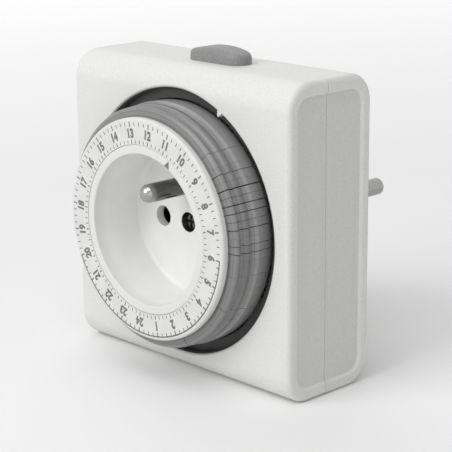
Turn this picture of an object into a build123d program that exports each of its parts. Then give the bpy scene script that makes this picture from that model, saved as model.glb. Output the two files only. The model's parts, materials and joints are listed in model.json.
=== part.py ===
"""Plug-in 24-hour timer switch with a socket through the middle of its dial.

Millimetres. +X is right and +Z is up for someone facing the dial, and +Y points into the wall. The origin is
the middle of the two plug pins, on the face of the plug.

Depths are measured back from the flat front of the case, so what stands out of the front has a negative
depth. Places across the front are (x, z) pairs from the dial's axis, or from the plug's axis where height=0.
"""

import math
import os

from build123d import *

os.makedirs("parts", exist_ok=True)

# Case
case_width = 79.0
case_height = 80.0
case_depth = 29.6
case_round = 7.3  # front and rear long edges
case_end_round = 1.5  # edges of the two side faces
case_wall = 2.2
side_wall = 2.6
seam_depth = 13.64
seam_chamfer = 0.15  # half the width of the groove between the two halves
seam_groove = 0.45
panel_rim = 3.0  # plain border round the shallow panel in each side
panel_sink = 0.6
panel_slope = 0.7  # width of the sloping edge round the panel
opening_radius = 34.55
opening_round = 0.6
skirt_wall = 1.4
skirt_end = 6.0
nib_angle = 27.8  # clockwise from the top
nib_reach = 1.15
nib_width = 2.0
nib_tip_width = 0.5
nib_root = 0.6  # how far the nib starts inside the wall

# Plug and socket, as the round-pin socket with an earth pin has them
pin_radius = 2.4
pin_length = 19.0
pin_pitch = 19.0
pin_tip_round = 1.2
pin_root_step = 0.25  # the pin is this much thicker inside the plug's face
pin_collar_step = 1.0
pin_collar = 1.5
pin_pad_wall = 2.2
pin_pad = 4.0  # how far the plastic round each pin reaches in from the plug's face wall
earth_height = 10.0  # earth contact above the line of the two pins
dial_rise = 0.8  # dial axis above the plug axis
boss_radius = 18.25
boss_length = 19.5
boss_wall = 2.2
boss_round = 1.0
well_mouth_radius = 19.4
well_mouth_round = 0.35
well_floor_radius = 19.1
well_floor_depth = 4.2
well_floor_thickness = 2.5
well_floor_round = 1.2
pin_hole_play = 0.35
earth_hole_play = 0.3
earth_hole_wall = 1.2
earth_pin_tip = -11.3
earth_neck_radius = 1.8
earth_rivet_radius = 2.6
earth_rivet = 0.8

# Dial
rim_depth = -11.1  # front plane of the dial and of the fixed rim round the well
rim_radius = 21.7
rim_thickness = 1.1
well_tube_wall = 1.5
running_gap = 0.1
slide_gap = 0.1
end_gap = 0.2
dial_radius = 28.45
dial_plate = 1.7
dial_edge_round = 0.8
dial_inner_gap = 0.2
bearing_wall = 1.2
web_thickness = 0.4  # of the dial's plate between its bearing and its drum
drum_radius = 26.2
drum_wall = 2.0
dial_gear_thickness = 2.1
hour_12_angle = 5.4  # where hour 12 stands, clockwise from the top

# Tappets
hours = 24
quarters = 4
tappet_end = 3.6
tappet_gap = 0.12
tappet_lift = 0.15  # between the dial's plate and the tappets
tappet_reach = 2.45  # how far the tappets stand out past the dial
tongue_width = 0.8
tongue_height = 0.9

# Gears: module, tooth counts and levels
ring_module = 0.75
ring_teeth = 72
dial_pinion_teeth = 12
train_module = 0.6
leaf_teeth = 8  # every small pinion of the train
first_teeth = 32
second_teeth = 32
clutch_teeth = 40
pressure_angle = 20.0
backlash = 0.16
wheel_thickness = 1.0
first_lift = 0.6  # first wheel above the chassis
level_gap = 0.7  # between one wheel and the next
mesh_overhang = 0.2  # how far a pinion reaches past the wheel it drives
dial_pinion_angle = -45.0  # direction of the dial pinion, counterclockwise from +X
second_drop = 4.0  # second wheel's axis below the dial pinion's
first_angle = 150.0  # direction from the second wheel's axis to the first's
motor_angle = 190.0  # direction from the first wheel's axis to the motor's

# Chassis and axles
chassis_front = 10.0
chassis_thickness = 2.0
chassis_seat = 1.3  # how far the chassis reaches under the well's tube
chassis_play = 0.2
chassis_corner = 1.5
corner_notch = 0.4  # play round the case's corner bosses
switch_window_middle = 2.0
switch_window_length = 34.0  # opening for the slide's cam and the contacts
switch_window_height = 9.0
switch_window_drop = 1.8
lever_window_height = 8.0
thrust_ring = 0.8
thrust_ring_wall = 1.0
axle_radius = 0.7
axle_gap = 0.05
axle_overhang = 0.3  # how far the dial pinion's axle stands out past it
sleeve_radius = 2.0
spacer_radius = 1.6
bridge_gap = 0.6
bridge_thickness = 1.2
bridge_radius = 2.4
post_radius = 1.7
peg_radius = 1.0
peg_rise = 0.6
peg_root = 0.7

# Slip clutch between the dial pinion and its wheel
clutch_disc_radius = 3.8
clutch_disc = 1.0
clutch_disc_gap = 0.8
clutch_hub_radius = 2.4
washer_inner = 1.4
washer_outer = 3.4
washer_thickness = 0.25
washer_gap = 0.05

# Motor
motor_radius = 14.0
motor_clearance = 0.3  # motor behind the end of the first wheel's axle
motor_plate = 0.8
motor_rear_gap = 2.0
ear_reach = 17.0
ear_radius = 2.6
ear_post_radius = 2.0
shaft_radius = 0.75
shaft_reach = 2.0  # how far the motor's shaft runs into the motor
coil_inner_radius = 5.5
coil_side_gap = 1.6
coil_end_gap = 0.5

# Fasteners
corner_inset_x = 5.5  # case screws in from the sides
corner_inset_z = 5.7
corner_boss_radius = 2.6
corner_pillar_radius = 3.2
chassis_inset_x = 10.2
chassis_inset_z = 8.7
chassis_post_radius = 2.2
pilot_gap = 0.05  # a screw's core in its pilot hole
clearance_gap = 0.2  # a screw in the piece that it holds
screw_cone = 0.5
case_screw_radius = 1.15
case_screw_head_radius = 2.5
case_screw_head = 1.8
case_screw_sink = 6.6  # seat of the head in front of the case's rear face
case_screw_reach = 16.5
case_screw_play = 0.45
case_pilot = 8.0  # depths of the pilot holes
chassis_pilot = 5.0
motor_pilot = 3.5
centre_pilot = 20.0
chassis_screw_radius = 0.85
chassis_screw_head_radius = 2.0
chassis_screw_head = 1.3
chassis_screw_reach = 6.0
motor_screw_radius = 0.8
motor_screw_head_radius = 2.0
motor_screw_head = 1.2
motor_screw_reach = 4.2
centre_screw_radius = 1.2
centre_screw_head_radius = 2.5
centre_screw_crown_radius = 1.6
centre_screw_head = 1.8
centre_screw_reach = 16.0
centre_screw_seat = 2.8  # seat of the head behind the well's floor
centre_head_gap = 0.15
centre_post_radius = 3.4
centre_pad_radius = 4.2
centre_pad = 1.5
cross_reach = 1.7
cross_width = 0.8
cross_depth = 1.1

# Override knob and switch
knob_length = 19.0
knob_width = 7.4
knob_height = 3.8
knob_side = 2.2  # height of the two ends
knob_corner = 3.6
knob_round = 1.4
knob_seat_gap = 0.05
knob_depth = 13.9  # middle of the knob behind the case front
knob_offset = 2.5  # middle of the knob right of the case's middle
knob_travel = 5.0
stem_front = 11.5
stem_back = 13.6
stem_width = 4.0
catch_overhang = 1.2
catch_thickness = 0.7
catch_gap = 0.2
cam_drop = 2.2
cam_thickness = 1.4
cam_flat = 0.9
cam_reach = 9.0
cam_rise = 1.4
lever_lift = 0.5  # lever's axis in front of the chassis
lever_drop = 3.8  # lever's axis below the inside of the case's top
lever_left = 3.0
lever_right = 16.0
knob_arm_left = 3.2
knob_arm_width = 2.6
leaf_arm_left = 8.6
leaf_arm_width = 2.8
feeler_left = 12.8
feeler_width = 2.1
lever_tube_radius = 1.4
lever_pin_radius = 0.6
lever_pin_grip = 0.01
lever_ear = 1.6
lever_ear_gap = 0.4
leaf_drop = 4.0
leaf_thickness = 0.3
leaf_front = 14.2
leaf_back = 17.2
leaf_left = -4.0
leaf_right = 29.0
clamp_left = 25.0
rivet_inset = 2.0
contact_radius = 1.2
contact_height = 1.0
contact_gap = 0.05
fixed_contact_height = 0.7
strip = 0.8  # brass strip thickness
strip_lap = 0.15  # how far a strip runs into the sleeve that it carries
riser_x = 27.0
riser_low = -2.0
tab_half = 2.5
neutral_tab_front = 14.0
input_turn = 22.0
input_width = 4.0
socket_spring_wall = 0.6
socket_spring_gap = 0.05
socket_spring_front = 9.0
socket_spring_back = 21.0
socket_spring_slit = 1.2
socket_spring_root = 2.5
rivet_radius = 1.5
rivet_head = 0.6
press_gap = 0.02

# Earth contacts
earth_tube_wall = 1.2
earth_tube_rise = 1.4  # the tube's front end behind the case's rear face
earth_sleeve_sink = 2.0
strap_gap = 0.8  # between the strap and the tube's front end
strap_margin = 0.45
strap_low_margin = 0.55
strap_top_gap = 0.26
strap_bend = 0.75
side_clip_width = 6.0
side_clip_length = 14.5
side_clip_sink = 1.0
side_clip_thickness = 0.6
side_clip_bow = 0.5
side_clip_groove = 1.5
side_clip_play = 0.2

# Places worked out from the sizes above
front_y = -(boss_length + case_depth)
dial_z = dial_rise
plug_depth = case_depth + boss_length
dial_axis = Axis((0, front_y, dial_z), (0, 1, 0))
quarter_angle = 360 / (hours * quarters)
top_inside = case_height / 2 - case_wall
side_inside = case_width / 2 - side_wall

well_tube_radius = well_mouth_radius + well_tube_wall
well_floor_back = well_floor_depth + well_floor_thickness
pin_hole_radius = pin_radius + pin_hole_play
bearing_radius = well_tube_radius + running_gap
centre_post_front = well_floor_back + centre_pad
centre_seat = well_floor_depth + centre_screw_seat

chassis_back = chassis_front + chassis_thickness
dial_end = chassis_front - thrust_ring - end_gap
drum_end = dial_end - dial_gear_thickness

first_front = chassis_back + first_lift
first_back = first_front + wheel_thickness
second_front = first_back + level_gap
second_back = second_front + wheel_thickness
clutch_front = second_back + level_gap
clutch_back = clutch_front + wheel_thickness
bridge_front = clutch_back + bridge_gap
bridge_back = bridge_front + bridge_thickness
disc_back = clutch_front - clutch_disc_gap
first_end = second_back + mesh_overhang
first_axle_back = first_end + end_gap
motor_front = first_axle_back + motor_clearance
motor_back = case_depth - case_wall - motor_rear_gap

pinion_distance = ring_module * (ring_teeth + dial_pinion_teeth) / 2
clutch_distance = train_module * (leaf_teeth + clutch_teeth) / 2
second_distance = train_module * (leaf_teeth + second_teeth) / 2
first_distance = train_module * (leaf_teeth + first_teeth) / 2

boss_inside = boss_radius - boss_wall
pin_root_radius = pin_radius + pin_root_step
pin_pad_radius = pin_radius + pin_pad_wall
pin_pad_front = plug_depth - boss_wall - pin_pad
collar_front = pin_pad_front - pin_collar
socket_spring_inner = pin_radius + socket_spring_gap
socket_spring_outer = socket_spring_inner + socket_spring_wall
strip_x = pin_pitch / 2 + socket_spring_outer - strip_lap
earth_tube_inner = socket_spring_outer + socket_spring_gap
earth_tube_front = case_depth + earth_tube_rise

lever_depth = chassis_front - lever_lift
lever_height = top_inside - lever_drop
leaf_height = top_inside - leaf_drop
fixed_contact = leaf_height + leaf_thickness + contact_height + contact_gap
input_low = fixed_contact + fixed_contact_height


def polar(angle, radius, start=(0.0, 0.0)):
    """A place at an angle counterclockwise from +X."""
    turn = math.radians(angle)
    return (start[0] + radius * math.cos(turn), start[1] + radius * math.sin(turn))


def clockwise(angle, radius, aside=0.0):
    """A place at an angle clockwise from the top of the dial, moved sideways along its circle."""
    turn = math.radians(angle)
    return (
        radius * math.sin(turn) + aside * math.cos(turn),
        radius * math.cos(turn) - aside * math.sin(turn),
    )


dial_pinion_at = polar(dial_pinion_angle, pinion_distance)
second_at = (
    dial_pinion_at[0] - math.sqrt(clutch_distance**2 - second_drop**2),
    dial_pinion_at[1] - second_drop,
)
first_at = polar(first_angle, second_distance, second_at)
motor_at = polar(motor_angle, first_distance, first_at)
ears_at = [polar(135, ear_reach, motor_at), polar(225, ear_reach, motor_at)]
bridge_posts_at = [(27.5, -8.2), (-0.2, -34.9)]
corner_x = case_width / 2 - corner_inset_x
corner_z = case_height / 2 - corner_inset_z
corners_at = [(x, z) for x in (-corner_x, corner_x) for z in (-corner_z, corner_z)]
chassis_x = case_width / 2 - chassis_inset_x
chassis_z = case_height / 2 - chassis_inset_z
chassis_posts_at = [(x, z) for x in (-chassis_x, chassis_x) for z in (-chassis_z, chassis_z)]
pins_at = [(-pin_pitch / 2, 0), (pin_pitch / 2, 0)]
earth_at = (0, earth_height)
rivet_at = (leaf_left + rivet_inset, (leaf_front + leaf_back) / 2)


def across(depth, height=dial_z):
    """The plane across the case at a depth, facing the front; extruding from it goes towards the front."""
    return Plane(origin=(0, front_y + depth, height), x_dir=(1, 0, 0), z_dir=(0, -1, 0))


def beside(x):
    """The plane at a place along the width: local x is depth, local y is height above the dial axis."""
    return Plane(origin=(x, front_y, dial_z), x_dir=(0, 1, 0), z_dir=(1, 0, 0))


def above(height):
    """The level plane at a height above the dial axis: local x is X, local y is depth."""
    return Plane(origin=(0, front_y, dial_z + height), x_dir=(1, 0, 0), z_dir=(0, 0, 1))


def turned_round(points, height=dial_z, x=0.0):
    """Revolves an outline of (radius, depth) points about an axis that runs front to back."""
    with BuildSketch(Plane(origin=(x, front_y, height), x_dir=(1, 0, 0), z_dir=(0, 0, 1))) as outline:
        with BuildLine():
            Polyline(*points, close=True)
        make_face()
    revolve(outline.sketch, axis=Axis((x, front_y, height), (0, 1, 0)))


def block_from(plane, points, amount, both=False, mode=Mode.ADD):
    """Extrudes an outline of points on a plane."""
    with BuildSketch(plane) as outline:
        with BuildLine():
            Polyline(*points, close=True)
        make_face()
    extrude(outline.sketch, amount=amount, both=both, mode=mode)


def circles_at(depth):
    """The round edges of the piece in hand that lie at a depth."""
    place = front_y + depth
    return edges().filter_by(GeomType.CIRCLE).filter_by_position(Axis.Y, place - 0.01, place + 0.01)


def add_ring(back, thickness, outer, inner=0.0, centre=(0, 0), height=dial_z, mode=Mode.ADD):
    """A disc or washer whose rear face is at a depth."""
    with BuildSketch(across(back, height)) as outline:
        with Locations(centre):
            Circle(outer)
            if inner:
                Circle(inner, mode=Mode.SUBTRACT)
    extrude(outline.sketch, amount=thickness, mode=mode)


def drill(back, front, radius, places, height=dial_z):
    """Round holes between two depths."""
    with BuildSketch(across(back, height)) as outline:
        with Locations(*places):
            Circle(radius)
    extrude(outline.sketch, amount=back - front, mode=Mode.SUBTRACT)


def raise_posts(back, front, radius, places):
    """Round posts between two depths."""
    with BuildSketch(across(back)) as outline:
        with Locations(*places):
            Circle(radius)
    extrude(outline.sketch, amount=back - front)


def add_rear_screw(place, seat, size):
    """A screw put in from behind, given its head's radius and height and its shank's radius and reach."""
    x, z = place
    head_radius, head, radius, reach = size
    points = [
        (0, seat + head),
        (head_radius, seat + head),
        (head_radius, seat),
        (radius, seat),
        (radius, seat - reach + screw_cone),
        (0, seat - reach),
    ]
    turned_round(points, height=dial_z + z, x=x)


def gear_outline(module, teeth, start, centre, points_per_flank=2):
    """A closed outline of involute teeth with straight facets; the first tooth points at the start angle."""
    pitch = module * teeth / 2
    base = pitch * math.cos(math.radians(pressure_angle))
    root = pitch - 1.2 * module
    tip = pitch + 0.9 * module
    half_at_pitch = math.pi / (2 * teeth) - backlash / (4 * pitch)

    def involute(radius):
        slope = math.acos(min(1.0, base / radius))
        return math.tan(slope) - slope

    radii = [root + (tip - root) * n / (points_per_flank - 1) for n in range(points_per_flank)]
    halves = [half_at_pitch + involute(pitch) - involute(r) for r in radii]
    outline = []
    for tooth in range(teeth):
        middle = math.radians(start) + 2 * math.pi * tooth / teeth
        flank = list(zip(radii, halves))
        for radius, half in flank:
            outline.append(polar(math.degrees(middle - half), radius, centre))
        for radius, half in reversed(flank):
            outline.append(polar(math.degrees(middle + half), radius, centre))
    return outline


def add_gear(back, thickness, centre, module, teeth, start, bore_radius, points_per_flank=2):
    """A toothed disc whose rear face is at a depth."""
    with BuildSketch(across(back)) as outline:
        with BuildLine():
            Polyline(*gear_outline(module, teeth, start, centre, points_per_flank), close=True)
        make_face()
        with Locations(centre):
            Circle(bore_radius, mode=Mode.SUBTRACT)
    extrude(outline.sketch, amount=thickness)


def direction(start, end):
    """The angle of the line from one place to another, counterclockwise from +X."""
    return math.degrees(math.atan2(end[1] - start[1], end[0] - start[0]))


def add_case():
    """The whole hollow case, not yet parted: rounded long edges and a sunk panel in each side."""
    middle = case_depth / 2
    with BuildSketch(beside(-case_width / 2)) as outline:
        with Locations((middle, 0)):
            RectangleRounded(case_depth, case_height, case_round)
    extrude(outline.sketch, amount=case_width)
    ends = faces().filter_by(Axis.X).sort_by(Axis.X)
    fillet(ends[0].edges() + ends[-1].edges(), case_end_round)
    for side in (-1, 1):
        sections = []
        for rim, sink in ((panel_rim, 0), (panel_rim + panel_slope, panel_sink)):
            with BuildSketch(beside(side * (case_width / 2 - sink))) as outline:
                with Locations((middle, 0)):
                    RectangleRounded(case_depth - 2 * rim, case_height - 2 * rim, case_round - rim)
            sections.append(outline.sketch.face())
        loft(sections, mode=Mode.SUBTRACT)
    hollow = (case_depth - 2 * case_wall, case_height - 2 * case_wall, case_round - case_wall)
    with BuildSketch(beside(-side_inside)) as outline:
        with Locations((middle, 0)):
            RectangleRounded(*hollow)
    extrude(outline.sketch, amount=2 * side_inside, mode=Mode.SUBTRACT)


def add_seam_chamfer():
    """The fine groove that shows where the two halves of the case meet."""
    seam_y = front_y + seam_depth
    level = faces().filter_by(Plane.XZ).filter_by_position(Axis.Y, seam_y - 0.01, seam_y + 0.01)
    rim = level.sort_by(SortBy.AREA)[-1]
    chamfer(rim.outer_wire().edges(), seam_groove, seam_chamfer, reference=rim)


def cut_knob_slot():
    """The slot in the top for the override knob's stem, wide enough for its travel."""
    travel_end = knob_offset - knob_travel
    slot_left = travel_end - stem_width / 2 - slide_gap
    slot_right = knob_offset + stem_width / 2 + slide_gap
    with BuildSketch(above(top_inside - 1)) as outline:
        with Locations(((slot_left + slot_right) / 2, (stem_front + stem_back) / 2)):
            Rectangle(slot_right - slot_left, stem_back - stem_front + 2 * slide_gap)
    extrude(outline.sketch, amount=case_wall + 2, mode=Mode.SUBTRACT)


# ---------------------------------------------------------------- case
with BuildPart() as front_shell:
    add_case()
    split(bisect_by=across(seam_depth), keep=Keep.TOP)
    add_seam_chamfer()
    post_start = case_wall - 0.2
    raise_posts(seam_depth, post_start, corner_boss_radius, corners_at)
    raise_posts(chassis_front, post_start, chassis_post_radius, chassis_posts_at)
    add_ring(skirt_end, skirt_end - case_wall / 2, opening_radius + skirt_wall, opening_radius)
    drill(case_wall + 1, -1, opening_radius, [(0, 0)])
    fillet(circles_at(0), opening_round)
    nib_base = opening_radius + nib_root
    nib_tip = opening_radius - nib_reach
    nib = [
        clockwise(nib_angle, nib_base, -nib_width / 2),
        clockwise(nib_angle, nib_base, nib_width / 2),
        clockwise(nib_angle, nib_tip, nib_tip_width / 2),
        clockwise(nib_angle, nib_tip, -nib_tip_width / 2),
    ]
    block_from(across(case_wall), nib, case_wall)
    drill(seam_depth, seam_depth - case_pilot, case_screw_radius + pilot_gap, corners_at)
    drill(chassis_front, chassis_front - chassis_pilot, chassis_screw_radius + pilot_gap, chassis_posts_at)
    cut_knob_slot()

case_screw_seat = case_depth - case_screw_sink
with BuildPart() as rear_shell:
    add_case()
    split(bisect_by=across(seam_depth), keep=Keep.BOTTOM)
    add_seam_chamfer()
    wall_middle = case_depth - case_wall / 2
    raise_posts(wall_middle, seam_depth, corner_pillar_radius, corners_at)
    drill(case_depth, case_screw_seat, case_screw_head_radius + clearance_gap, corners_at)
    drill(case_screw_seat, seam_depth, case_screw_radius + case_screw_play, corners_at)
    cut_knob_slot()
    add_ring(plug_depth, plug_depth - wall_middle, boss_radius, height=0)
    fillet(circles_at(plug_depth), boss_round)
    add_ring(plug_depth - boss_wall, plug_depth, boss_inside, height=0, mode=Mode.SUBTRACT)
    face_middle = plug_depth - boss_wall / 2
    add_ring(face_middle, face_middle - centre_post_front, centre_post_radius, height=0)
    tube_outer = earth_tube_inner + earth_tube_wall
    add_ring(face_middle, face_middle - earth_tube_front, tube_outer, centre=earth_at, height=0)
    for place in pins_at:
        add_ring(face_middle, face_middle - pin_pad_front, pin_pad_radius, centre=place, height=0)
    drill(plug_depth, pin_pad_front, pin_root_radius + press_gap, pins_at, height=0)
    sleeve_stop = plug_depth - earth_hole_wall
    drill(sleeve_stop, 0, earth_tube_inner, [earth_at], height=0)
    drill(plug_depth, sleeve_stop - 1, pin_radius + earth_hole_play, [earth_at], height=0)
    drill(centre_post_front + centre_pilot, 0, centre_screw_radius + pilot_gap, [(0, 0)], height=0)
    groove_bottom = boss_radius - side_clip_groove
    with BuildSketch(across(plug_depth, 0)):
        for height in (-boss_radius, boss_radius):
            with Locations((0, height)):
                Rectangle(side_clip_width + 2 * side_clip_play, 2 * side_clip_groove)
    extrude(amount=side_clip_sink + side_clip_length + side_clip_play, mode=Mode.SUBTRACT)

# ---------------------------------------------------------------- plug
with BuildPart() as plug_pins:
    pin_end = plug_depth + pin_length
    collar_radius = pin_radius + pin_collar_step
    rivet_end = collar_front - strip - rivet_head
    for x, _ in pins_at:
        points = [
            (0, pin_end),
            (pin_radius, pin_end),
            (pin_radius, plug_depth),
            (pin_root_radius, plug_depth),
            (pin_root_radius, pin_pad_front),
            (collar_radius, pin_pad_front),
            (collar_radius, collar_front),
            (rivet_radius, collar_front),
            (rivet_radius, rivet_end),
            (0, rivet_end),
        ]
        turned_round(points, height=0, x=x)
    fillet(circles_at(pin_end), pin_tip_round)

with BuildPart() as earth_clips:
    clip_back = plug_depth - side_clip_sink
    clip_front = clip_back - side_clip_length
    clip_middle = (clip_back + clip_front) / 2
    side = Plane(origin=(-side_clip_width / 2, front_y, 0), x_dir=(0, 1, 0), z_dir=(1, 0, 0))
    seat = groove_bottom
    top = groove_bottom + side_clip_thickness
    with BuildSketch(side) as outline:
        with BuildLine():
            ThreePointArc((clip_front, top), (clip_middle, top + side_clip_bow), (clip_back, top))
            Line((clip_back, top), (clip_back, seat))
            ThreePointArc((clip_back, seat), (clip_middle, seat + side_clip_bow), (clip_front, seat))
            Line((clip_front, seat), (clip_front, top))
        make_face()
    upper = extrude(outline.sketch, amount=side_clip_width)
    mirror(upper, about=Plane.XY)

# ---------------------------------------------------------------- socket well
with BuildPart() as socket_well:
    tube_inner = well_tube_radius - well_tube_wall
    points = [
        (well_mouth_radius, rim_depth),
        (rim_radius, rim_depth),
        (rim_radius, rim_depth + rim_thickness),
        (well_tube_radius, rim_depth + rim_thickness),
        (well_tube_radius, chassis_front),
        (tube_inner, chassis_front),
        (tube_inner, well_floor_back),
        (0, well_floor_back),
        (0, well_floor_depth),
        (well_floor_radius, well_floor_depth),
    ]
    turned_round(points)
    fillet(circles_at(rim_depth), well_mouth_round)
    fillet(circles_at(well_floor_depth), well_floor_round)
    add_ring(centre_post_front, centre_pad, centre_pad_radius, height=0)
    drill(centre_seat, 0, centre_screw_head_radius + centre_head_gap, [(0, 0)], height=0)
    drill(centre_post_front, 0, centre_screw_radius + 2 * clearance_gap, [(0, 0)], height=0)
    drill(well_floor_back, 0, pin_hole_radius, pins_at, height=0)
    drill(well_floor_back, 0, earth_neck_radius + press_gap, [earth_at], height=0)

with BuildPart() as earth_pin:
    neck_end = well_floor_back + strip
    points = [
        (0, earth_pin_tip),
        (pin_radius, earth_pin_tip),
        (pin_radius, well_floor_depth),
        (earth_neck_radius, well_floor_depth),
        (earth_neck_radius, neck_end),
        (earth_rivet_radius, neck_end),
        (earth_rivet_radius, neck_end + earth_rivet),
        (0, neck_end + earth_rivet),
    ]
    turned_round(points, height=earth_height)
    fillet(circles_at(earth_pin_tip), pin_radius - 0.05)

strap_back = earth_tube_front - strap_gap
with BuildPart() as earth_strap:
    strap_half = socket_spring_outer + strap_margin
    strap_low = earth_height - socket_spring_outer - strap_low_margin - dial_rise
    strap_top = math.sqrt(boss_inside**2 - strap_half**2) - strap_top_gap - dial_rise
    points = [
        (well_floor_back, strap_low),
        (well_floor_back, strap_top),
        (strap_back, strap_top),
        (strap_back, strap_low),
        (strap_back - strip, strap_low),
        (strap_back - strip, strap_top - strip),
        (well_floor_back + strip, strap_top - strip),
        (well_floor_back + strip, strap_low),
    ]
    block_from(beside(-strap_half), points, 2 * strap_half)
    fillet(edges().filter_by(Axis.X).group_by(Axis.Z)[-1], strap_bend)
    drill(well_floor_back + strip, well_floor_back, earth_neck_radius + press_gap, [earth_at], height=0)
    drill(strap_back, strap_back - strip, socket_spring_inner, [earth_at], height=0)

with BuildPart() as rear_earth_sleeve:
    sleeve_back = plug_depth - earth_sleeve_sink
    length = sleeve_back - strap_back
    add_ring(sleeve_back, length, socket_spring_outer, socket_spring_inner, centre=earth_at, height=0)
    with BuildSketch(across(sleeve_back, 0)):
        with Locations((0, earth_height - socket_spring_outer)):
            Rectangle(socket_spring_slit, 2 * socket_spring_slit)
    extrude(amount=length - socket_spring_root, mode=Mode.SUBTRACT)

# ---------------------------------------------------------------- dial
with BuildPart() as dial_ring:
    plate_back = rim_depth + dial_plate
    web_back = plate_back + web_thickness
    bearing_outer = bearing_radius + bearing_wall
    drum_inner = drum_radius - drum_wall
    dial_inner = rim_radius + dial_inner_gap
    points = [
        (dial_inner, rim_depth),
        (dial_radius, rim_depth),
        (dial_radius, plate_back),
        (drum_radius, plate_back),
        (drum_radius, drum_end),
        (drum_inner, drum_end),
        (drum_inner, web_back),
        (bearing_outer, web_back),
        (bearing_outer, dial_end),
        (bearing_radius, dial_end),
        (bearing_radius, plate_back),
        (dial_inner, plate_back),
    ]
    turned_round(points)
    fillet(circles_at(rim_depth).sort_by(SortBy.RADIUS)[-1], dial_edge_round)
    groove_depth = tongue_height + slide_gap
    with BuildSketch(across(drum_end)):
        with PolarLocations(0, hours * quarters, start_angle=90 - hour_12_angle + quarter_angle / 2):
            with Locations((drum_radius - groove_depth + 1, 0)):
                Rectangle(2, tongue_width + 2 * slide_gap)
    extrude(amount=drum_end - plate_back, mode=Mode.SUBTRACT)

with BuildPart() as dial_gear:
    seat = bearing_outer + slide_gap
    add_gear(dial_end, dial_gear_thickness, (0, 0), ring_module, ring_teeth, dial_pinion_angle, seat)

# ---------------------------------------------------------------- tappets
tappet_front = plate_back + tappet_lift
tappet_foot = drum_radius + slide_gap
tappet_radius = dial_radius + tappet_reach
tappet_outline = [
    (tappet_foot, tappet_front),
    (dial_radius + 0.45, tappet_front),
    (tappet_radius - 0.6, tappet_front + 0.75),
    (tappet_radius, tappet_front + 1.65),
    (tappet_radius - 0.1, tappet_front + 2.45),
    (tappet_radius - 0.7, tappet_front + 3.05),
    (tappet_radius, tappet_front + 3.85),
    (tappet_radius - 0.2, tappet_front + 5.3),
    (tappet_radius + 0.15, tappet_front + 7.1),
    (tappet_radius, tappet_front + 8.3),
    (tappet_radius, tappet_end),
    (tappet_foot, tappet_end),
]


def tappet_half_width(radius):
    """Half of a tappet's width at a radius, with the gap to its neighbour left out."""
    return radius * math.tan(math.radians(quarter_angle / 2)) - tappet_gap / 2


with BuildPart() as tappet:
    block_from(beside(0), [(depth, radius) for radius, depth in tappet_outline], 2, both=True)
    low, high = drum_radius - 1, opening_radius
    wedge = [
        (-tappet_half_width(low), low),
        (tappet_half_width(low), low),
        (tappet_half_width(high), high),
        (-tappet_half_width(high), high),
    ]
    block_from(across(tappet_end + 1), wedge, tappet_end - rim_depth, mode=Mode.INTERSECT)
    with BuildSketch(across(tappet_end)):
        with Locations((0, tappet_foot - tongue_height / 2)):
            Rectangle(tongue_width, tongue_height)
    extrude(amount=tappet_end - tappet_front)

for hour in range(1, hours + 1):
    tick = hour_12_angle + (12 - hour) * 360 / hours
    with BuildPart() as hour_tappets:
        for quarter in range(quarters):
            add(tappet.part.rotate(dial_axis, tick - quarter_angle * (quarter + 0.5)))
    hour_tappets.part.label = f"tappets_hour_{hour:02d}"
    export_step(hour_tappets.part, f"parts/tappets_hour_{hour:02d}.step")

# ---------------------------------------------------------------- gear train
bore = axle_radius + axle_gap
with BuildPart() as dial_pinion:
    pinion_back = dial_end + mesh_overhang
    length = pinion_back - drum_end + slide_gap
    start = dial_pinion_angle + 180 + 180 / dial_pinion_teeth
    add_gear(pinion_back, length, dial_pinion_at, ring_module, dial_pinion_teeth, start, bore, 3)
    add_ring(disc_back, disc_back - pinion_back, sleeve_radius, bore, centre=dial_pinion_at)
    add_ring(disc_back, clutch_disc, clutch_disc_radius, bore, centre=dial_pinion_at)

with BuildPart() as clutch_spring:
    washer_front = disc_back + washer_gap
    washer_back = clutch_front - washer_gap
    washer = [
        (washer_inner, washer_front),
        (washer_inner, washer_front + washer_thickness),
        (washer_outer, washer_back),
        (washer_outer, washer_back - washer_thickness),
    ]
    turned_round(washer, height=dial_z + dial_pinion_at[1], x=dial_pinion_at[0])

with BuildPart() as clutch_wheel:
    start = direction(dial_pinion_at, second_at)
    add_gear(clutch_back, wheel_thickness, dial_pinion_at, train_module, clutch_teeth, start, bore)
    hub_back = bridge_front - end_gap
    add_ring(hub_back, hub_back - clutch_front, clutch_hub_radius, bore, centre=dial_pinion_at)

with BuildPart() as second_wheel:
    start = direction(second_at, first_at)
    add_gear(second_back, wheel_thickness, second_at, train_module, second_teeth, start, bore)
    start = direction(second_at, dial_pinion_at) + 180 / leaf_teeth
    pinion_back = clutch_back + mesh_overhang
    add_gear(pinion_back, pinion_back - second_back, second_at, train_module, leaf_teeth, start, bore, 3)
    add_ring(second_back, second_back - chassis_back - slide_gap, spacer_radius, bore, centre=second_at)

with BuildPart() as first_wheel:
    start = direction(first_at, motor_at)
    add_gear(first_back, wheel_thickness, first_at, train_module, first_teeth, start, bore)
    start = direction(first_at, second_at) + 180 / leaf_teeth
    add_gear(first_end, first_end - first_back, first_at, train_module, leaf_teeth, start, bore, 3)
    add_ring(first_front, first_lift - slide_gap, spacer_radius, bore, centre=first_at)

with BuildPart() as motor_pinion:
    start = direction(motor_at, first_at) + 180 / leaf_teeth
    pinion_back = first_back + mesh_overhang
    pinion_front = first_front - mesh_overhang
    length = pinion_back - pinion_front
    add_gear(pinion_back, length, motor_at, train_module, leaf_teeth, start, shaft_radius / 2, 3)
    shaft_back = motor_front + shaft_reach
    add_ring(shaft_back, shaft_back - pinion_front, shaft_radius, centre=motor_at)

with BuildPart() as axle_pins:
    pinion_front = drum_end - slide_gap
    add_ring(first_axle_back, first_axle_back - chassis_front, axle_radius, centre=first_at)
    add_ring(bridge_back, bridge_back - chassis_front, axle_radius, centre=second_at)
    add_ring(bridge_back, bridge_back - pinion_front + axle_overhang, axle_radius, centre=dial_pinion_at)

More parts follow.
